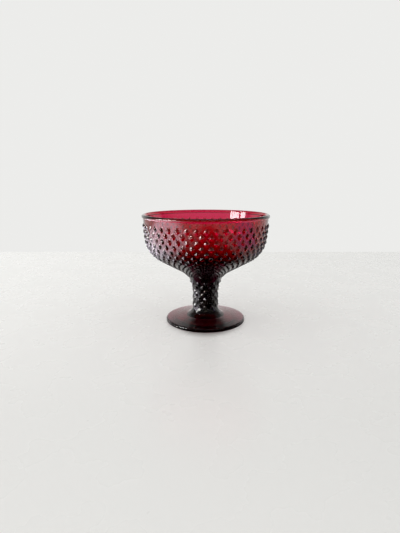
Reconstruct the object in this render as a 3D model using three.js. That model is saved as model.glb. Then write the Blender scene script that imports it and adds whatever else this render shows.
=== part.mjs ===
// A footed bowl in deep red pressed glass, in millimetres, +Z up, standing on z = 0 about the Z axis.
// It is worked from three gathers of glass, a foot, a stem and a bowl, pressed apart and fused hot,
// end to end, so each is a solid of its own with a flat seam where it meets the next.
import * as THREE from 'three';

const { degToRad } = THREE.MathUtils;
const FULL_TURN = 2 * Math.PI;

// Foot: a smooth disc, higher towards the stem, hollowed below so that it stands on a flat ring
const FOOT_RADIUS = 33.6;
const FOOT_EDGE = 3.2;
const FOOT_EDGE_ROUND = 1.4;
const FOOT_SLOPE = degToRad(9);
const STAND_INNER_RADIUS = 24;
const HOLLOW_DEPTH = 1.8;

// Stem: a short straight column that sweeps out into the foot below and into the bowl above
const STEM_RADIUS = 10.35;
const STEM_STRAIGHT = 11.8;
const FOOT_SWEEP = 8;
const NECK_SWEEP = 22;
const FOOT_SEAM_ANGLE = degToRad(25);
const NECK_SEAM_ANGLE = degToRad(35);

// Bowl: a steep wall over a round shoulder and a sloping underside, with a dished floor inside
const RIM_RADIUS = 52.4;
const BOWL_HEIGHT = 53.2;
const WALL = 2.4;
const WALL_FLARE = degToRad(6.6);
const INNER_FLARE = degToRad(8.8);
const LIP_PROUD = 0.9;
const UNDERSIDE_SLOPE = degToRad(30.2);
const SHOULDER_ROUND = 22;
const FLOOR_THICKNESS = 10.5;
const DISH_ROUND = 70;
const INNER_SHOULDER_ROUND = 18;

// Relief: a slanting lattice of raised diamonds, so many round each piece, that closes up towards the axis.
// The slant is a lattice cell's height over its width, and the shares are a diamond's size in its cell
// and its rise in its width. The plain band is from the lip to the middle of the highest row.
const BOWL_DIAMONDS = 44;
const STEM_DIAMONDS = 12;
const LATTICE_SLANT = 1.2;
const DIAMOND_SHARE = 0.62;
const RISE_SHARE = 0.26;
const PLAIN_BAND = 6.4;

// Facets: the length that a facet keeps under, the most that an arc turns in one step and the fewest sides
// of a ring
const FACET = 6;
const ARC_STEP = degToRad(26);
const LEAST_SIDES = 24;

const RUBY = { color: 0x5e0a18, roughness: 0.06, metalness: 0, transparent: true, opacity: 0.85 };

// Heights of the two seams, and the radius of the stem at each
const footEdgeCentre = new THREE.Vector2(FOOT_RADIUS - FOOT_EDGE_ROUND, FOOT_EDGE - FOOT_EDGE_ROUND);
const footSweepRadius = STEM_RADIUS + FOOT_SWEEP;
const footSweepHeight = footEdgeCentre.y
  + (FOOT_EDGE_ROUND + FOOT_SWEEP + (footEdgeCentre.x - footSweepRadius) * Math.sin(FOOT_SLOPE))
  / Math.cos(FOOT_SLOPE);
const footSeamHeight = footSweepHeight - FOOT_SWEEP * Math.sin(FOOT_SEAM_ANGLE);
const neckSweepRadius = STEM_RADIUS + NECK_SWEEP;
const stemSweepStart = FOOT_SWEEP * Math.sin(FOOT_SEAM_ANGLE);
const neckSweepStart = stemSweepStart + STEM_STRAIGHT;
const stemLength = neckSweepStart + NECK_SWEEP * Math.sin(NECK_SEAM_ANGLE);
const bowlSeamHeight = footSeamHeight + stemLength;

// The direction up a wall that flares out, and the direction into the piece from a line along d
function upAt(flare) {
  return new THREE.Vector2(Math.sin(flare), Math.cos(flare));
}

function inwardOf(d) {
  return new THREE.Vector2(-d.y, d.x);
}

// Where the line through p along d crosses the line through q along e
function crossing(p, d, q, e) {
  const share = q.clone().sub(p).cross(e) / d.cross(e);
  return p.clone().addScaledVector(d, share);
}

// Sides of a plain ring, in fours, so that it has a vertex on each axis and the part's box stays centred
function ringSides(radius) {
  return 4 * Math.ceil(Math.max(LEAST_SIDES, FULL_TURN * radius / FACET) / 4);
}

// Points along a section, close enough on its arcs for them to look round
function sectionPoints(section) {
  return section.curves.flatMap((curve, i) => {
    const turn = curve.isEllipseCurve ? Math.abs(curve.aEndAngle - curve.aStartAngle) : 0;
    const steps = turn ? Math.ceil(Math.max(turn / ARC_STEP, curve.getLength() / FACET)) : 1;
    return curve.getPoints(steps).slice(i ? 1 : 0);
  });
}

// Spacing and pitch of the lattice at a radius, with so many diamonds round, and the sizes of a diamond there
function lattice(radius, count) {
  const spacing = FULL_TURN * radius / count;
  const pitch = spacing / 2 * LATTICE_SLANT;
  const halfWidth = spacing / 2 * DIAMOND_SHARE;
  return { pitch, halfWidth, halfHeight: pitch * DIAMOND_SHARE, rise: 2 * halfWidth * RISE_SHARE };
}

// A point of the outline at a distance along it, with its outward direction
function station(outline, distance) {
  const share = distance / outline.getLength();
  const tangent = outline.getTangentAt(share);
  return { at: outline.getPointAt(share), out: new THREE.Vector2(tangent.y, -tangent.x) };
}

// A closed skin, built ring by ring along a section that starts and ends on the axis
class Skin {
  positions = [];
  triangles = [];

  vertex(radius, angle, height) {
    this.positions.push(radius * Math.cos(angle), radius * Math.sin(angle), height);
    return { index: this.positions.length / 3 - 1, angle };
  }

  ring(at) {
    const count = ringSides(at.x);
    return Array.from({ length: count }, (_, i) => this.vertex(at.x, i * FULL_TURN / count, at.y));
  }

  // The strip of triangles from one ring to the next, whatever their counts
  strip(ring, next) {
    const angleOf = (list, i) => list[i % list.length].angle + (i < list.length ? 0 : FULL_TURN);
    let i = 0;
    let j = 0;
    while (i < ring.length || j < next.length) {
      const from = ring[i % ring.length].index;
      const to = next[j % next.length].index;
      const ringIsBehind = angleOf(ring, i + 1) <= angleOf(next, j + 1);
      const stepsRing = j === next.length || (i < ring.length && ringIsBehind);
      if (stepsRing) {
        i += 1;
        this.triangles.push(from, ring[i % ring.length].index, to);
      } else {
        j += 1;
        this.triangles.push(from, next[j % next.length].index, to);
      }
    }
  }

  // The flat end that the section starts from, and the middle that it ends in
  open(height, ring) {
    const middle = this.vertex(0, 0, height).index;
    ring.forEach(({ index }, i) => this.triangles.push(middle, ring[(i + 1) % ring.length].index, index));
  }

  close(ring, height) {
    const middle = this.vertex(0, 0, height).index;
    ring.forEach(({ index }, i) => this.triangles.push(index, ring[(i + 1) % ring.length].index, middle));
  }

  // One diamond on the outline, which returns its right, top, left and bottom corners
  diamond(outline, distance, angle, count) {
    const { at } = station(outline, distance);
    const { halfWidth, halfHeight, rise } = lattice(at.x, count);
    const raised = (along, up, lift) => {
      const foot = station(outline, distance + up);
      const lifted = foot.at.addScaledVector(foot.out, lift);
      return this.vertex(lifted.x, angle + along / at.x, lifted.y);
    };
    const corners = [raised(halfWidth, 0, 0), raised(0, halfHeight, 0), raised(-halfWidth, 0, 0),
      raised(0, -halfHeight, 0)];
    const point = raised(0, 0, rise);
    corners.forEach(({ index }, i) => {
      this.triangles.push(index, corners[(i + 1) % corners.length].index, point.index);
    });
    return corners;
  }

  // A ring of diamonds, which returns the two zigzag edges that the plain skin joins below and above it
  diamondRow(outline, distance, count, isTurned) {
    const below = [];
    const above = [];
    for (let i = 0; i < count; i += 1) {
      const angle = (i + (isTurned ? 0.5 : 0)) * FULL_TURN / count;
      const [right, top, left, bottom] = this.diamond(outline, distance, angle, count);
      above.push(left, top, right);
      below.push(left, bottom, right);
    }
    return { below, above };
  }

  // The patterned stretch of the outside, from the ring at the outline's start to the ring at its end
  patternedStretch(outline, distances, count) {
    const first = this.ring(outline.getPointAt(0));
    const last = this.ring(outline.getPointAt(1));
    let edge = first;
    distances.forEach((distance, i) => {
      const row = this.diamondRow(outline, distance, count, i % 2 === 1);
      this.strip(edge, row.below);
      edge = row.above;
    });
    this.strip(edge, last);
    return { first, last };
  }

  geometry() {
    const geometry = new THREE.BufferGeometry();
    geometry.setAttribute('position', new THREE.Float32BufferAttribute(this.positions, 3));
    geometry.setIndex(this.triangles);
    geometry.computeVertexNormals();
    return geometry;
  }
}

// Distances of the rows of diamonds along an outline, set from its top end down and listed from below
function rowDistances(outline, count, bandAbove) {
  const pitchAt = (distance) => lattice(station(outline, distance).at.x, count).pitch;
  const distances = [];
  let distance = outline.getLength() - bandAbove;
  let pitch = pitchAt(distance);
  while (distance > pitch) {
    distances.unshift(distance);
    distance -= pitch;
    pitch = distance > 0 ? pitchAt(distance) : pitch;
  }
  return distances;
}

function footGeometry() {
  const hollowRadius = (STAND_INNER_RADIUS ** 2 + HOLLOW_DEPTH ** 2) / (2 * HOLLOW_DEPTH);
  const hollowAngle = Math.asin(STAND_INNER_RADIUS / hollowRadius);
  const section = new THREE.Path();
  section.absarc(0, HOLLOW_DEPTH - hollowRadius, hollowRadius, Math.PI / 2, Math.PI / 2 - hollowAngle, true);
  section.absarc(footEdgeCentre.x, FOOT_EDGE_ROUND, FOOT_EDGE_ROUND, -Math.PI / 2, 0);
  section.absarc(footEdgeCentre.x, footEdgeCentre.y, FOOT_EDGE_ROUND, 0, Math.PI / 2 - FOOT_SLOPE);
  section.absarc(footSweepRadius, footSweepHeight, FOOT_SWEEP,
    1.5 * Math.PI - FOOT_SLOPE, Math.PI + FOOT_SEAM_ANGLE, true);
  section.lineTo(0, footSeamHeight);
  const points = sectionPoints(section);
  points[0].x = 0;
  return new THREE.LatheGeometry(points, ringSides(FOOT_RADIUS)).rotateX(Math.PI / 2);
}

// The stem's outline, from the foot seam at height 0 up to the bowl seam
function stemOutline() {
  const outline = new THREE.Path();
  outline.absarc(footSweepRadius, stemSweepStart, FOOT_SWEEP, Math.PI + FOOT_SEAM_ANGLE, Math.PI, true);
  outline.absarc(neckSweepRadius, neckSweepStart, NECK_SWEEP, Math.PI, Math.PI - NECK_SEAM_ANGLE, true);
  return outline;
}

function stemGeometry() {
  const outline = stemOutline();
  const skin = new Skin();
  const bandAbove = lattice(outline.getPointAt(1).x, STEM_DIAMONDS).pitch;
  const distances = rowDistances(outline, STEM_DIAMONDS, bandAbove);
  const { first, last } = skin.patternedStretch(outline, distances, STEM_DIAMONDS);
  skin.open(0, first);
  skin.close(last, stemLength);
  return skin.geometry();
}

// The bowl's lip is a half round as thick as the wall and what it stands proud of the wall
const lipRound = (WALL + LIP_PROUD) / 2;
const lipCentre = new THREE.Vector2(RIM_RADIUS - lipRound, BOWL_HEIGHT - lipRound);
const lipStartAngle = -Math.acos(1 - LIP_PROUD / lipRound);

// The bowl's outside, from the stem seam at height 0 up to the lip
function bowlOutline() {
  const sweepHeight = -NECK_SWEEP * Math.sin(NECK_SEAM_ANGLE);
  const along = new THREE.Vector2(Math.cos(UNDERSIDE_SLOPE), Math.sin(UNDERSIDE_SLOPE));
  const underside = new THREE.Vector2(neckSweepRadius, sweepHeight)
    .addScaledVector(inwardOf(along), NECK_SWEEP + SHOULDER_ROUND);
  const wallTop = new THREE.Vector2(Math.cos(lipStartAngle), Math.sin(lipStartAngle))
    .multiplyScalar(lipRound).add(lipCentre);
  const wallUp = upAt(WALL_FLARE);
  const wallInset = wallTop.clone().addScaledVector(inwardOf(wallUp), SHOULDER_ROUND);
  const centre = crossing(underside, along, wallInset, wallUp);
  const outline = new THREE.Path();
  outline.absarc(neckSweepRadius, sweepHeight, NECK_SWEEP,
    Math.PI - NECK_SEAM_ANGLE, Math.PI / 2 + UNDERSIDE_SLOPE, true);
  outline.absarc(centre.x, centre.y, SHOULDER_ROUND, UNDERSIDE_SLOPE - Math.PI / 2, -WALL_FLARE);
  outline.lineTo(wallTop.x, wallTop.y);
  return outline;
}

// The bowl's inside, from the top of the wall over the lip and down to the middle of the dished floor.
// The plunger that presses it flares more than the mould, so the wall is thinnest under the lip.
function bowlInside() {
  const dishCentre = new THREE.Vector2(0, FLOOR_THICKNESS + DISH_ROUND);
  const wallUp = upAt(INNER_FLARE);
  const wallInset = lipCentre.clone().addScaledVector(inwardOf(wallUp), lipRound + INNER_SHOULDER_ROUND);
  const fromDish = wallInset.clone().sub(dishCentre);
  const reach = DISH_ROUND - INNER_SHOULDER_ROUND;
  const halfway = fromDish.dot(wallUp);
  const drop = halfway + Math.sqrt(halfway ** 2 - fromDish.lengthSq() + reach ** 2);
  const centre = wallInset.addScaledVector(wallUp, -drop);
  const dishAngle = Math.atan2(centre.y - dishCentre.y, centre.x - dishCentre.x);
  const inside = new THREE.Path();
  inside.absarc(lipCentre.x, lipCentre.y, lipRound, lipStartAngle, Math.PI - INNER_FLARE);
  inside.absarc(centre.x, centre.y, INNER_SHOULDER_ROUND, -INNER_FLARE, dishAngle, true);
  inside.absarc(dishCentre.x, dishCentre.y, DISH_ROUND, dishAngle, -Math.PI / 2, true);
  return inside;
}

function bowlGeometry() {
  const outline = bowlOutline();
  const skin = new Skin();
  const distances = rowDistances(outline, BOWL_DIAMONDS, PLAIN_BAND);
  const { first, last } = skin.patternedStretch(outline, distances, BOWL_DIAMONDS);
  skin.open(0, first);
  let ring = last;
  sectionPoints(bowlInside()).slice(1, -1).forEach((at) => {
    const next = skin.ring(at);
    skin.strip(ring, next);
    ring = next;
  });
  skin.close(ring, FLOOR_THICKNESS);
  return skin.geometry();
}

function piece(name, geometry, height) {
  const mesh = new THREE.Mesh(geometry, new THREE.MeshStandardMaterial(RUBY));
  mesh.name = name;
  mesh.position.z = height;
  return mesh;
}

const footedBowl = new THREE.Group();
footedBowl.add(piece('foot', footGeometry(), 0));
footedBowl.add(piece('stem', stemGeometry(), footSeamHeight));
footedBowl.add(piece('bowl', bowlGeometry(), bowlSeamHeight));

export default footedBowl;
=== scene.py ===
import math

import bpy
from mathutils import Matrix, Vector


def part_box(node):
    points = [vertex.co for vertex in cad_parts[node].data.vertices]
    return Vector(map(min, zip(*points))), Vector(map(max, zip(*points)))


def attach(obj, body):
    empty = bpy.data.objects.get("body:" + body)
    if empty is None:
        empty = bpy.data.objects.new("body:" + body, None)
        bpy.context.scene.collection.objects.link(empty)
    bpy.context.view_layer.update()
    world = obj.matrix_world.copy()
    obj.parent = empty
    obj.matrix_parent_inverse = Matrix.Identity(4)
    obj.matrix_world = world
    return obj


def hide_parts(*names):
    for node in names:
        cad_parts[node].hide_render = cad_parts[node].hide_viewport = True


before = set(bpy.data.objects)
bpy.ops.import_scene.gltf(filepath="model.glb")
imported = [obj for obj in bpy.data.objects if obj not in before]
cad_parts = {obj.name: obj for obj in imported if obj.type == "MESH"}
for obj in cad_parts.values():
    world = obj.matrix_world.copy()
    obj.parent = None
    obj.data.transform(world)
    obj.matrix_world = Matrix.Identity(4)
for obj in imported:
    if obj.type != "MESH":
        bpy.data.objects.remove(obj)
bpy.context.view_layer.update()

# The foot is a disc of ruby glass, pressed smooth, that rises a little towards the stem.
# It is hollowed underneath, so that it stands on a flat ring, which the table has scuffed.
# It is fused hot to the lower end of the stem.
foot_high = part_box("foot")[1]
foot_radius = foot_high.x
foot_edge = 0.0032
foot_edge_round = 0.0014
foot_slope = math.radians(9)
stand_inner_radius = 0.024
hollow_depth = 0.0018
stem_radius = 0.01035
foot_sweep = 0.008
foot_seam_angle = math.radians(25)
seam_gap = 0.00001
seam_edge = 0.00012
full_turn = 2 * math.pi
same_place = 1e-7
same_angle = 1e-7
sharp_angle = math.radians(40)
foot_ruby = (0.89, 0.0, 0.68, 1.0)
foot_colour_depth = 1900.0
foot_ripple_size = 0.016
foot_ripple_height = 0.00003
ripple_detail = 1.5
clear = (1.0, 1.0, 1.0, 1.0)
glass_ior = 1.52
haze_size = 0.0025
haze_detail = 4.0
haze_range = (0.35, 0.75)
polished_roughness = 0.01
hazy_roughness = 0.05
scuff_height = 0.0006
scuff_size = 0.0004
scuff_detail = 5.0
scuff_range = (0.42, 0.62)
scuffed_roughness = 0.45


def spoke(angle):
    return Vector((math.cos(angle), math.sin(angle)))


def left_of(along):
    return Vector((-along.y, along.x))


class Outline:
    """A section line of arcs and straight runs, in radius and height, with the glass on its left."""

    def __init__(self, start):
        self.end = Vector(start)
        self.runs = []
        self.length = 0.0

    def line_to(self, point):
        point = Vector(point)
        length = (point - self.end).length
        if length > same_place:
            direction = (point - self.end) / length
            start = self.end
            self.add(length, 0.0, lambda distance: (start + direction * distance, direction))
            self.end = point

    def arc(self, centre, radius, start, end):
        centre = Vector(centre)
        side = math.copysign(1.0, end - start)

        def read(distance):
            out = spoke(start + side * distance / radius)
            return centre + out * radius, left_of(out) * side

        self.line_to(read(0.0)[0])
        turn = abs(end - start)
        self.add(turn * radius, turn, read)
        self.end = read(turn * radius)[0]

    def add(self, length, turn, read):
        self.runs.append((self.length, length, turn, read))
        self.length += length

    def at(self, distance):
        """The point at a distance along the line, and the direction out of the glass there."""
        for begin, length, _, read in self.runs:
            if distance <= begin + length + same_place:
                break
        point, along = read(distance - begin)
        return point, -left_of(along)

    def distances(self, step, turn_step):
        """Distances close enough together for the section to look round."""
        listed = [0.0]
        for begin, length, turn, _ in self.runs:
            parts = max(1, math.ceil(length / step), math.ceil(turn / turn_step))
            listed += [begin + length * (i + 1) / parts for i in range(parts)]
        return listed


class Skin:
    """A closed skin of glass, built ring by ring along a section that starts and ends on the axis."""

    sides = 160
    step = 0.0011
    turn_step = math.radians(7)

    def __init__(self):
        self.points = []
        self.faces = []

    def point(self, radius, angle, height):
        self.points.append((radius * math.cos(angle), radius * math.sin(angle), height))
        return len(self.points) - 1, angle

    def ring(self, place):
        radius, height = place
        return [self.point(radius, full_turn * i / self.sides, height) for i in range(self.sides)]

    def strip(self, ring, following):
        """Joins two rings of any counts: four-sided faces where their corners line up, else triangles."""
        def corner(points, i):
            index, angle = points[i % len(points)]
            return index, angle + full_turn * (i // len(points))

        i = j = 0
        while i < len(ring) or j < len(following):
            low, high = corner(ring, i)[0], corner(following, j)[0]
            next_low, low_angle = corner(ring, i + 1)
            next_high, high_angle = corner(following, j + 1)
            both_go_on = i < len(ring) and j < len(following)
            if both_go_on and abs(low_angle - high_angle) < same_angle:
                self.faces.append((low, next_low, next_high, high))
                i += 1
                j += 1
            elif j == len(following) or (both_go_on and low_angle < high_angle):
                self.faces.append((low, next_low, high))
                i += 1
            else:
                self.faces.append((low, next_high, high))
                j += 1

    def carry(self, ring, section, distances):
        """Carries a ring along a section by way of the distances, and returns the ring at the last one."""
        for distance in distances:
            following = self.ring(section.at(distance)[0])
            self.strip(ring, following)
            ring = following
        return ring

    def open(self, height, ring):
        middle, _ = self.point(0, 0, height)
        self.faces += [(middle, ring[(i + 1) % len(ring)][0], ring[i][0]) for i in range(len(ring))]

    def close(self, ring, height):
        middle, _ = self.point(0, 0, height)
        self.faces += [(ring[i][0], ring[(i + 1) % len(ring)][0], middle) for i in range(len(ring))]


def end_at_seam(skin, ring, outline, seam_height):
    """Closes a skin with the flat face that is fused to the piece above."""
    flat_height = seam_height - seam_gap
    flat_ring = skin.ring((outline.end.x - seam_edge, flat_height))
    skin.strip(ring, flat_ring)
    skin.close(flat_ring, flat_height)


def glass_piece(name, skin, material):
    mesh = bpy.data.meshes.new(name)
    mesh.from_pydata(skin.points, [], skin.faces)
    mesh.shade_smooth()
    mesh.set_sharp_from_angle(angle=sharp_angle)
    mesh.materials.append(material)
    piece = bpy.data.objects.new(name, mesh)
    bpy.context.scene.collection.objects.link(piece)
    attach(piece, "root")
    return piece


def node(tree, kind, inputs=None, **settings):
    """A shader node, with each input set to a plain value or linked to another node's output."""
    made = tree.nodes.new(kind)
    for name, value in settings.items():
        setattr(made, name, value)
    for name, value in (inputs or {}).items():
        if isinstance(value, bpy.types.NodeSocket):
            tree.links.new(value, made.inputs[name])
        else:
            made.inputs[name].default_value = value
    return made


def reckon(tree, operation, first, second):
    return node(tree, "ShaderNodeMath", {0: first, 1: second}, operation=operation).outputs["Value"]


def soft_step(tree, value, begin, end, first, last):
    """A number that goes smoothly from first to last while a value goes from begin to end."""
    ends = {"Value": value, "From Min": begin, "From Max": end, "To Min": first, "To Max": last}
    return node(tree, "ShaderNodeMapRange", ends, interpolation_type="SMOOTHSTEP").outputs["Result"]


def grain(tree, place, size, detail):
    """Noise with blots of a size."""
    blots = {"Vector": place, "Scale": 1 / size, "Detail": detail}
    return node(tree, "ShaderNodeTexNoise", blots).outputs["Fac"]


def ruby_glass(name, colour, colour_depth, ripple_size, ripple_height, wear=None):
    """Clear glass with the red in its body: light that crosses more of it comes out darker."""
    material = bpy.data.materials.new(name)
    material.use_nodes = True
    tree = material.node_tree
    shader = tree.nodes["Principled BSDF"]
    shader.inputs["Base Color"].default_value = clear
    shader.inputs["Transmission Weight"].default_value = 1.0
    shader.inputs["IOR"].default_value = glass_ior
    body = node(tree, "ShaderNodeVolumeAbsorption", {"Color": colour, "Density": colour_depth})
    tree.links.new(body.outputs["Volume"], tree.nodes["Material Output"].inputs["Volume"])
    place = node(tree, "ShaderNodeTexCoord").outputs["Object"]
    ripple = grain(tree, place, ripple_size, ripple_detail)
    bump = node(tree, "ShaderNodeBump", {"Height": ripple, "Strength": 1.0, "Distance": ripple_height})
    tree.links.new(bump.outputs["Normal"], shader.inputs["Normal"])
    haze = grain(tree, place, haze_size, haze_detail)
    roughness = soft_step(tree, haze, *haze_range, polished_roughness, hazy_roughness)
    if wear:
        roughness = reckon(tree, "MAXIMUM", roughness, wear(tree, place))
    tree.links.new(roughness, shader.inputs["Roughness"])
    return material


def standing_wear(tree, place):
    """Roughness of the scuffs that tables leave on the standing ring and on the edge just above it."""
    height = node(tree, "ShaderNodeSeparateXYZ", {"Vector": place}).outputs["Z"]
    near_table = soft_step(tree, height, 0.0, scuff_height, 1.0, 0.0)
    blots = grain(tree, place, scuff_size, scuff_detail)
    scuffs = soft_step(tree, blots, *scuff_range, 0.0, scuffed_roughness)
    return reckon(tree, "MULTIPLY", near_table, scuffs)


def foot_section():
    hollow_radius = (stand_inner_radius ** 2 + hollow_depth ** 2) / (2 * hollow_depth)
    hollow_angle = math.asin(stand_inner_radius / hollow_radius)
    edge_radius = foot_radius - foot_edge_round
    sweep_radius = stem_radius + foot_sweep
    sweep_height = foot_high.z + foot_sweep * math.sin(foot_seam_angle)
    sweep_start = 1.5 * math.pi - foot_slope
    section = Outline((0, hollow_depth))
    section.arc((0, hollow_depth - hollow_radius), hollow_radius, math.pi / 2, math.pi / 2 - hollow_angle)
    section.arc((edge_radius, foot_edge_round), foot_edge_round, -math.pi / 2, 0)
    section.arc((edge_radius, foot_edge - foot_edge_round), foot_edge_round, 0, math.pi / 2 - foot_slope)
    section.arc((sweep_radius, sweep_height), foot_sweep, sweep_start, math.pi + foot_seam_angle)
    return section


def make_foot():
    section = foot_section()
    skin = Skin()
    distances = section.distances(skin.step, skin.turn_step)[1:]
    first_ring = skin.ring(section.at(distances[0])[0])
    skin.open(hollow_depth, first_ring)
    ring = skin.carry(first_ring, section, distances[1:])
    end_at_seam(skin, ring, section, foot_high.z)
    return skin


foot_finish = ruby_glass("foot_ruby_glass", foot_ruby, foot_colour_depth,
                         foot_ripple_size, foot_ripple_height, standing_wear)
foot = glass_piece("foot_glass", make_foot(), foot_finish)
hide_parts("foot")

# The stem is a short solid column of the same glass, pressed in a mould cut with a lattice of diamonds,
# which stand up from it with edges and points that the fire has melted round.
# It sweeps out at both ends, where it is fused to the foot and to the bowl.
stem_low, stem_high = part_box("stem")
neck_sweep = 0.022
neck_seam_angle = math.radians(35)
stem_diamonds = 12
lattice_slant = 1.2
diamond_share = 0.62
rise_share = 0.26
corner_power = 1.22
point_round = 0.30
diamond_fillet = 0.15
fillet_share = 0.5
diamond_sides = 12
diamond_reaches = (1.1, 1.0, 0.90, 0.68, 0.42, 0.20)
ruby = (0.89, 0.0, 0.42, 1.0)
stem_colour_depth = 3400.0
stem_ripple_size = 0.010
stem_ripple_height = 0.00002


class Lattice:
    """The diamond relief at a radius, with so many diamonds round the piece."""

    def __init__(self, radius, count):
        spacing = full_turn * radius / count
        self.pitch = spacing / 2 * lattice_slant
        self.half_width = spacing / 2 * diamond_share
        self.half_height = self.pitch * diamond_share
        self.rise = 2 * self.half_width * rise_share

    def corner(self, direction):
        """The base of a diamond in a direction round it: a lozenge with its corners rounded off."""
        across, up = math.cos(direction), math.sin(direction)
        stretch = (abs(across) ** corner_power + abs(up) ** corner_power) ** (-1 / corner_power)
        return self.half_width * across * stretch, self.half_height * up * stretch

    def lift(self, reach):
        """Height at a share of a diamond's reach: a round point, a soft foot, and plain glass past it."""
        base = math.hypot(1, point_round)
        height = (base - math.hypot(reach, point_round)) / (base - point_round)
        past_fillet = min(1.0, (1 - reach) / diamond_fillet)
        return self.rise * max(height, 0.0) * (fillet_share + (1 - fillet_share) * past_fillet)


def raise_diamond(skin, outline, distance, angle, lattice):
    """One diamond on the outline, which returns the ring of plain glass round its base."""
    radius = outline.at(distance)[0].x

    def raised(along, up, lift):
        base, out = outline.at(distance + up)
        lifted = base + out * lift
        return skin.point(lifted.x, angle + along / radius, lifted.y)

    corners = [lattice.corner(full_turn * i / diamond_sides) for i in range(diamond_sides)]
    rings = []
    for reach in diamond_reaches:
        rings.append([raised(x * reach, y * reach, lattice.lift(reach)) for x, y in corners])
    point = raised(0, 0, lattice.rise)
    for i in range(diamond_sides):
        k = (i + 1) % diamond_sides
        for ring, inner in zip(rings, rings[1:]):
            skin.faces.append((ring[i][0], ring[k][0], inner[k][0], inner[i][0]))
        skin.faces.append((rings[-1][i][0], rings[-1][k][0], point[0]))
    return rings[0]


def diamond_row(skin, outline, distance, count, is_turned):
    """A ring of diamonds, which returns the zigzag edges that the plain glass joins below and above it."""
    lattice = Lattice(outline.at(distance)[0].x, count)
    half = diamond_sides // 2
    below, above = [], []
    for i in range(count):
        angle = full_turn * (i + is_turned / 2) / count
        base = raise_diamond(skin, outline, distance, angle, lattice)
        above += base[half::-1]
        below += base[half:] + base[:1]
    return below, above


def row_distances(outline, count, band_above):
    """Distances of the rows of diamonds, set from the outline's top end down and listed from below."""
    distances = []
    distance = outline.length - band_above
    pitch = Lattice(outline.at(distance)[0].x, count).pitch
    while distance > pitch:
        distances.insert(0, distance)
        distance -= pitch
        pitch = Lattice(outline.at(max(distance, 0.0))[0].x, count).pitch
    return distances


def start_at_seam(skin, outline, seam_height):
    """Opens a skin with the flat face that is fused to the piece below, and returns the ring above it."""
    flat_height = seam_height + seam_gap
    flat_ring = skin.ring((outline.at(0)[0].x - seam_edge, flat_height))
    skin.open(flat_height, flat_ring)
    return skin.carry(flat_ring, outline, [seam_edge])


def patterned_stretch(skin, outline, distances, count, ring):
    """Carries a ring up an outline through its rows of diamonds, and returns the ring at its end."""
    for i, distance in enumerate(distances):
        below, above = diamond_row(skin, outline, distance, count, i % 2 == 1)
        skin.strip(ring, below)
        ring = above
    return skin.carry(ring, outline, [outline.length])


def stem_outline():
    sweep_start = stem_low.z + foot_sweep * math.sin(foot_seam_angle)
    neck_start = stem_high.z - neck_sweep * math.sin(neck_seam_angle)
    seam_radius = stem_radius + foot_sweep * (1 - math.cos(foot_seam_angle))
    outline = Outline((seam_radius, stem_low.z))
    outline.arc((stem_radius + foot_sweep, sweep_start), foot_sweep, math.pi + foot_seam_angle, math.pi)
    outline.arc((stem_radius + neck_sweep, neck_start), neck_sweep, math.pi, math.pi - neck_seam_angle)
    return outline


def make_stem():
    outline = stem_outline()
    skin = Skin()
    start = start_at_seam(skin, outline, stem_low.z)
    band_above = Lattice(outline.end.x, stem_diamonds).pitch
    distances = row_distances(outline, stem_diamonds, band_above)
    ring = patterned_stretch(skin, outline, distances, stem_diamonds, start)
    end_at_seam(skin, ring, outline, stem_high.z)
    return skin


stem_finish = ruby_glass("stem_ruby_glass", ruby, stem_colour_depth, stem_ripple_size, stem_ripple_height)
stem = glass_piece("stem_glass", make_stem(), stem_finish)
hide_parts("stem")

# The bowl is pressed in a cut mould by a smooth plunger, so its lattice is outside and its inside plain.
# Its lip is a plain half round, melted smooth by the fire, and its floor is dished and thick in the middle.
# Its underside is fused to the upper end of the stem.
bowl_low, bowl_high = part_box("bowl")
rim_radius = bowl_high.x
bowl_diamonds = 44
wall = 0.0024
wall_flare = math.radians(6.6)
inner_flare = math.radians(8.8)
lip_proud = 0.0009
underside_slope = math.radians(30.2)
shoulder_round = 0.022
floor_thickness = 0.0105
dish_round = 0.070
inner_shoulder_round = 0.018
plain_band = 0.0064
bowl_colour_depth = 1550.0
bowl_ripple_size = 0.020
bowl_ripple_height = 0.00004
mark_width = 0.0005
mark_detail = 3.0
mark_range = (0.58, 0.66)
marked_roughness = 0.16
marks_end = 0.070
marks_fade = 0.010
level_range = (0.75, 0.95)
lip_round = (wall + lip_proud) / 2
lip_centre = Vector((rim_radius - lip_round, bowl_high.z - lip_round))
lip_start_angle = -math.acos(1 - lip_proud / lip_round)


def crossing(place, along, other_place, other_along):
    """Where the line through a place along a direction crosses another such line."""
    return place + along * ((other_place - place).cross(other_along) / along.cross(other_along))


def bowl_outside():
    sweep_centre = Vector((stem_radius + neck_sweep, bowl_low.z - neck_sweep * math.sin(neck_seam_angle)))
    along = spoke(underside_slope)
    underside = sweep_centre + left_of(along) * (neck_sweep + shoulder_round)
    wall_top = lip_centre + spoke(lip_start_angle) * lip_round
    wall_up = spoke(math.pi / 2 - wall_flare)
    centre = crossing(underside, along, wall_top + left_of(wall_up) * shoulder_round, wall_up)
    outline = Outline(sweep_centre + spoke(math.pi - neck_seam_angle) * neck_sweep)
    outline.arc(sweep_centre, neck_sweep, math.pi - neck_seam_angle, math.pi / 2 + underside_slope)
    outline.arc(centre, shoulder_round, underside_slope - math.pi / 2, -wall_flare)
    outline.line_to(wall_top)
    return outline


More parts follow.
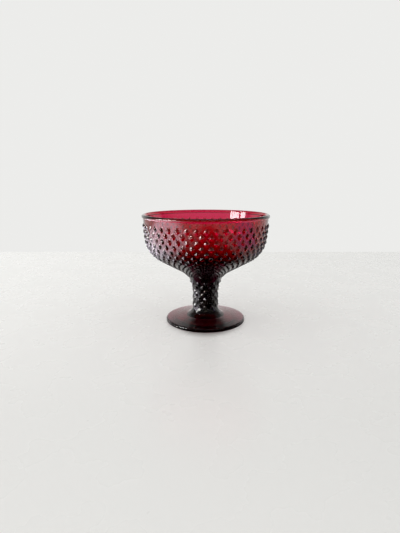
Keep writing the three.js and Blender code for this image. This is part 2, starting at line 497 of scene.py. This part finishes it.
def bowl_inside():
    dish_centre = Vector((0, bowl_low.z + floor_thickness + dish_round))
    wall_up = spoke(math.pi / 2 - inner_flare)
    wall_inset = lip_centre + left_of(wall_up) * (lip_round + inner_shoulder_round)
    from_dish = wall_inset - dish_centre
    halfway = from_dish.dot(wall_up)
    reach = dish_round - inner_shoulder_round
    drop = halfway + math.sqrt(halfway ** 2 - from_dish.length_squared + reach ** 2)
    centre = wall_inset - wall_up * drop
    dish_angle = math.atan2(centre.y - dish_centre.y, centre.x - dish_centre.x)
    inside = Outline(lip_centre + spoke(lip_start_angle) * lip_round)
    inside.arc(lip_centre, lip_round, lip_start_angle, math.pi - inner_flare)
    inside.arc(centre, inner_shoulder_round, -inner_flare, dish_angle)
    inside.arc(dish_centre, dish_round, dish_angle, -math.pi / 2)
    return inside


def make_bowl():
    outside = bowl_outside()
    skin = Skin()
    start = start_at_seam(skin, outside, bowl_low.z)
    distances = row_distances(outside, bowl_diamonds, plain_band)
    wall_ring = patterned_stretch(skin, outside, distances, bowl_diamonds, start)
    inside = bowl_inside()
    floor_ring = skin.carry(wall_ring, inside, inside.distances(skin.step, skin.turn_step)[1:-1])
    skin.close(floor_ring, bowl_low.z + floor_thickness)
    return skin


def length_of(tree, vector):
    return node(tree, "ShaderNodeVectorMath", {0: vector}, operation="LENGTH").outputs["Value"]


def floor_share(tree, height):
    """1 on the floor of the bowl, and 0 on its wall and lip."""
    normal = node(tree, "ShaderNodeNewGeometry").outputs["Normal"]
    facing_up = node(tree, "ShaderNodeSeparateXYZ", {"Vector": normal}).outputs["Z"]
    is_level = soft_step(tree, facing_up, *level_range, 0.0, 1.0)
    below_lip = soft_step(tree, height, marks_end - marks_fade, marks_end, 1.0, 0.0)
    return reckon(tree, "MULTIPLY", is_level, below_lip)


def spoon_marks(tree, place):
    """Roughness of the fine curved marks that spoons leave on the floor of the bowl."""
    split = node(tree, "ShaderNodeSeparateXYZ", {"Vector": place})
    x, y = split.outputs["X"], split.outputs["Y"]
    level = node(tree, "ShaderNodeCombineXYZ", {"X": x, "Y": y}).outputs["Vector"]
    marks_out = reckon(tree, "DIVIDE", length_of(tree, level), mark_width)
    turn = reckon(tree, "ARCTAN2", y, x)
    along = node(tree, "ShaderNodeCombineXYZ", {"X": marks_out, "Y": turn}).outputs["Vector"]
    marks = soft_step(tree, grain(tree, along, 1.0, mark_detail), *mark_range, 0.0, marked_roughness)
    return reckon(tree, "MULTIPLY", floor_share(tree, split.outputs["Z"]), marks)


bowl_finish = ruby_glass("bowl_ruby_glass", ruby, bowl_colour_depth,
                         bowl_ripple_size, bowl_ripple_height, spoon_marks)
bowl = glass_piece("bowl_glass", make_bowl(), bowl_finish)
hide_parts("bowl")

# The table is broad and lacquered white, with a soft gloss, and a white wall stands behind it.
# The table glows with painted light that fades away from the window, with a painted shadow before the stem.
# Bright, dark and violet spots on the table and shade on the wall are painted reflections, seen only in
# gloss.
# None of these is part of the bowl.
table_back = 0.345
table_reach = 3.0
wall_height = 3.0
table_drop = 0.00005
pale = (0.84, 0.84, 0.825, 1.0)
wall_roughness = 0.8
lacquer = (0.50, 0.50, 0.49, 1.0)
painted_light_colour = (1.0, 1.0, 0.985, 1.0)
sheen_size = 0.03
sheen_detail = 3.0
sheen_range = (0.3, 0.7)
glossy_roughness = 0.25
dull_roughness = 0.31
window_side = (-1.0, -0.35, 0.0)
fall_reach = 0.4
# Painted light: the table's own glow, brighter near the window, stands in for the room's light.
painted_light_near = 0.31
painted_light_far = 0.22
spot_edge = (0.6, 1.0)
# A painted shadow on the table in front of the stem, where the glow is taken away.
painted_stem_shadow = ((0.0, -0.018, 0.0), (0.026, 0.027, 1.0))
# Painted reflections on the table, shown only in gloss: a bright spot on the left, a dark one in front, a
# violet one right.
painted_bright_reflection = ((-0.25, -0.02, 0.0), (0.20, 0.26, 1.0), (1.03, 0.95, 1.08, 1.0), 4.4)
painted_dark_reflection = ((0.015, -0.15, 0.0), (0.13, 0.20, 1.0), (0.0, 0.0, 0.0, 1.0), 0.0)
painted_violet_reflection = ((0.27, -0.08, 0.0), (0.14, 0.16, 1.0), (0.75, 0.60, 1.15, 1.0), 0.85)
# Painted shade on the wall, shown only in gloss: its upper part and a spot behind the bowl are darker in
# reflections.
painted_wall_shade = 0.8
painted_shade_low = 0.16
painted_shade_high = 0.36
painted_wall_spot = ((0.01, table_back, 0.28), (0.09, 1.0, 0.14))
painted_spot_shade = 0.9


def stage_sheet(name, section, material):
    """A flat sheet as wide as the stage, between two lines given by depth and height."""
    points = [(x, y, z) for y, z in section for x in (-table_reach, table_reach)]
    mesh = bpy.data.meshes.new(name)
    mesh.from_pydata(points, [], [(0, 1, 3, 2)])
    mesh.materials.append(material)
    sheet = bpy.data.objects.new(name, mesh)
    bpy.context.scene.collection.objects.link(sheet)


def mirrored_rays(tree):
    """1 for a ray that a glossy surface mirrors, and 0 for one that goes through glass."""
    path = node(tree, "ShaderNodeLightPath").outputs
    mirrored = {0: path["Is Glossy Ray"], 1: path["Is Transmission Ray"]}
    return node(tree, "ShaderNodeMath", mirrored, operation="SUBTRACT", use_clamp=True).outputs["Value"]


def seen_rays(tree):
    """1 for a ray from the camera or sent on by glass or gloss, and 0 for one that only carries light."""
    path = node(tree, "ShaderNodeLightPath").outputs
    sent_on = reckon(tree, "MAXIMUM", path["Is Glossy Ray"], path["Is Transmission Ray"])
    return reckon(tree, "MAXIMUM", path["Is Camera Ray"], sent_on)


def mix(tree, share, first, second):
    return node(tree, "ShaderNodeMixShader", {0: share, 1: first, 2: second}).outputs["Shader"]


def round_spot(tree, place, middle, reach):
    """1 inside a soft round spot, and 0 outside it."""
    spot = {"Vector": place, "Location": middle, "Scale": reach}
    spread = node(tree, "ShaderNodeMapping", spot, vector_type="TEXTURE").outputs["Vector"]
    return soft_step(tree, length_of(tree, spread), *spot_edge, 1.0, 0.0)


def towards(tree, place, direction):
    """How far a place or a line of sight reaches in a direction."""
    sides = {0: place, 1: Vector(direction).normalized()}
    return node(tree, "ShaderNodeVectorMath", sides, operation="DOT_PRODUCT").outputs["Value"]


def painted_room_light(tree, place):
    """A painted glow for the room's light: less away from the window, and a painted shadow before the stem.
    """
    nearness = towards(tree, place, window_side)
    painted_open_light = soft_step(tree, nearness, -fall_reach, fall_reach, painted_light_far, painted_light_near)
    outside_painted_shadow = reckon(tree, "SUBTRACT", 1.0, round_spot(tree, place, *painted_stem_shadow))
    return reckon(tree, "MULTIPLY", painted_open_light, outside_painted_shadow)


def lacquer_with_painted_light():
    material = bpy.data.materials.new("white_lacquer_with_painted_light")
    material.use_nodes = True
    tree = material.node_tree
    place = node(tree, "ShaderNodeTexCoord").outputs["Object"]
    shader = tree.nodes["Principled BSDF"]
    shader.inputs["Base Color"].default_value = lacquer
    # The table's emission is painted light and painted shadow, not light that falls on it.
    shader.inputs["Emission Color"].default_value = painted_light_colour
    tree.links.new(painted_room_light(tree, place), shader.inputs["Emission Strength"])
    sheen = grain(tree, place, sheen_size, sheen_detail)
    roughness = soft_step(tree, sheen, *sheen_range, glossy_roughness, dull_roughness)
    tree.links.new(roughness, shader.inputs["Roughness"])
    surface = shader.outputs["BSDF"]
    # Each spot is a painted reflection, mixed in only for rays that gloss mirrors.
    for middle, reach, colour, brightness in (painted_violet_reflection, painted_bright_reflection, painted_dark_reflection):
        painted_reflection = node(tree, "ShaderNodeEmission", {"Color": colour, "Strength": brightness})
        share = reckon(tree, "MULTIPLY", round_spot(tree, place, middle, reach), mirrored_rays(tree))
        surface = mix(tree, share, surface, painted_reflection.outputs["Emission"])
    tree.links.new(surface, tree.nodes["Material Output"].inputs["Surface"])
    return material


def wall_brightness(tree):
    """1 where the wall is seen, and less where gloss mirrors it: painted shade on its upper part and on a
    spot behind the bowl.
    """
    place = node(tree, "ShaderNodeTexCoord").outputs["Object"]
    height = node(tree, "ShaderNodeSeparateXYZ", {"Vector": place}).outputs["Z"]
    upper = soft_step(tree, height, painted_shade_low, painted_shade_high, 0.0, painted_wall_shade)
    painted_spot = reckon(tree, "MULTIPLY", round_spot(tree, place, *painted_wall_spot), painted_spot_shade)
    shade = reckon(tree, "MAXIMUM", upper, painted_spot)
    return reckon(tree, "SUBTRACT", 1.0, reckon(tree, "MULTIPLY", shade, mirrored_rays(tree)))


def wall_paint_with_painted_shade():
    """Pale wall: plain paint for the light it sends on, an even white where it is seen, and painted shade
    where gloss mirrors it.
    """
    material = bpy.data.materials.new("white_wall_paint_with_painted_shade")
    material.use_nodes = True
    tree = material.node_tree
    shader = tree.nodes["Principled BSDF"]
    shader.inputs["Base Color"].default_value = pale
    shader.inputs["Roughness"].default_value = wall_roughness
    glow = node(tree, "ShaderNodeEmission", {"Color": pale, "Strength": wall_brightness(tree)})
    surface = mix(tree, seen_rays(tree), shader.outputs["BSDF"], glow.outputs["Emission"])
    tree.links.new(surface, tree.nodes["Material Output"].inputs["Surface"])
    return material


stage_sheet("table", [(-table_reach, -table_drop), (table_back, -table_drop)], lacquer_with_painted_light())
stage_sheet("wall", [(table_back, -table_drop), (table_back, wall_height)], wall_paint_with_painted_shade())

# The light is a window of two panes on the left, a little towards the camera, in a pale room.
# The glass mirrors the panes, the bright wall round them, the ceiling and a warm band just above the table.
# The rest of the room is dim in its gloss, which keeps the front of the glass deep and clear.
window_bearing = Vector((-0.96, -0.28, 0.0)).normalized()
window_distance = 0.9
window_foot = 0.03
near_pane_width = 0.33
far_pane_width = 0.19
pane_bar = 0.07
pane_height = 0.5
pane_glow = 15.0
soft_light_size = 1.2
soft_light_power = 3.5
soft_light_colour = (1.0, 0.985, 0.96)
room_colour = (1.0, 0.995, 0.985, 1.0)
daylight = (0.97, 0.985, 1.05, 1.0)
warm_light = (1.05, 1.0, 0.75, 1.0)
dim_room = 0.05
band_strength = 0.5
overhead = (0, 0, 1)
window_wall = ((-1, 0.1, 0.12), 20, 60, 0.45)
warm_band = (overhead, 79, 83, band_strength)
above_band = (overhead, 72, 76, -band_strength)
ceiling = (overhead, 15, 40, 0.6)


def window_lamp(name, width, height, power, aside):
    lamp = bpy.data.lights.new(name, "AREA")
    lamp.shape = "RECTANGLE"
    lamp.size = width
    lamp.size_y = height
    lamp.energy = power
    window = bpy.data.objects.new(name, lamp)
    across = Vector((-window_bearing.y, window_bearing.x, 0.0))
    window.location = window_bearing * window_distance + across * aside
    window.location.z = window_foot + height / 2
    window.rotation_euler = window_bearing.to_track_quat("Z", "Y").to_euler()
    bpy.context.scene.collection.objects.link(window)
    return window


def window_panes(pieces):
    """The two bright panes that the glass mirrors."""
    mirrors = bpy.data.collections.new("glass_that_mirrors_the_window")
    for piece in pieces:
        mirrors.objects.link(piece)
    near_middle = (far_pane_width + pane_bar) / 2
    far_middle = -(near_pane_width + pane_bar) / 2
    panes = (("near_pane", near_pane_width, near_middle), ("far_pane", far_pane_width, far_middle))
    for name, width, middle in panes:
        power = pane_glow * math.pi * width * pane_height
        pane = window_lamp(name, width, pane_height, power, middle)
        pane.visible_diffuse = False
        pane.visible_transmission = False
        pane.light_linking.receiver_collection = mirrors


def window_light():
    """The soft light that the window casts, which no gloss shows."""
    window = window_lamp("window_light", soft_light_size, soft_light_size, soft_light_power, 0.0)
    window.data.color = soft_light_colour
    window.visible_glossy = False
    window.visible_transmission = False


def soft_patch(tree, direction, inner, outer, strength):
    """A round patch of light in the room, full inside one angle from its middle and gone at another."""
    sight = node(tree, "ShaderNodeTexCoord").outputs["Generated"]
    full = math.cos(math.radians(inner))
    gone = math.cos(math.radians(outer))
    return soft_step(tree, towards(tree, sight, direction), gone, full, 0.0, strength)


def backdrop(tree, colour, strength=1.0):
    light = node(tree, "ShaderNodeBackground", {"Color": colour, "Strength": strength})
    return light.outputs["Background"]


def pale_room():
    """An even pale room where it is seen and for the light it gives, and a dimmer one in a mirror."""
    world = bpy.data.worlds.new("pale_room")
    world.use_nodes = True
    tree = world.node_tree
    cool_light = dim_room
    for patch in (window_wall, ceiling):
        cool_light = reckon(tree, "ADD", cool_light, soft_patch(tree, *patch))
    band_light = reckon(tree, "ADD", soft_patch(tree, *warm_band), soft_patch(tree, *above_band))
    mirrored_lights = {0: backdrop(tree, daylight, cool_light), 1: backdrop(tree, warm_light, band_light)}
    mirrored = node(tree, "ShaderNodeAddShader", mirrored_lights).outputs["Shader"]
    shown = mix(tree, mirrored_rays(tree), backdrop(tree, pale), mirrored)
    surface = mix(tree, seen_rays(tree), backdrop(tree, room_colour), shown)
    tree.links.new(surface, tree.nodes["World Output"].inputs["Surface"])
    return world


window_panes((foot, stem, bowl))
window_light()
bpy.context.scene.world = pale_room()

# The camera stands where the photograph was taken from, a little above the lip, and looks down on the bowl.
# Its focal length is given in pixels of the photograph, like the photograph's height.
photo_height = 533
focal_length = 400
sensor_width = 36.0
nearest_seen = 0.01
camera_place = (-0.00468, -0.3312, 0.1160)
camera_tilt = math.radians(11.83)
camera_data = bpy.data.cameras.new("camera")
camera_data.sensor_width = sensor_width
camera_data.lens = sensor_width * focal_length / photo_height
camera_data.clip_start = nearest_seen
camera = bpy.data.objects.new("camera", camera_data)
camera.location = camera_place
camera.rotation_euler = (math.pi / 2 - camera_tilt, 0.0, 0.0)
bpy.context.scene.collection.objects.link(camera)
bpy.context.scene.camera = camera
bpy.context.scene.view_settings.view_transform = "Standard"
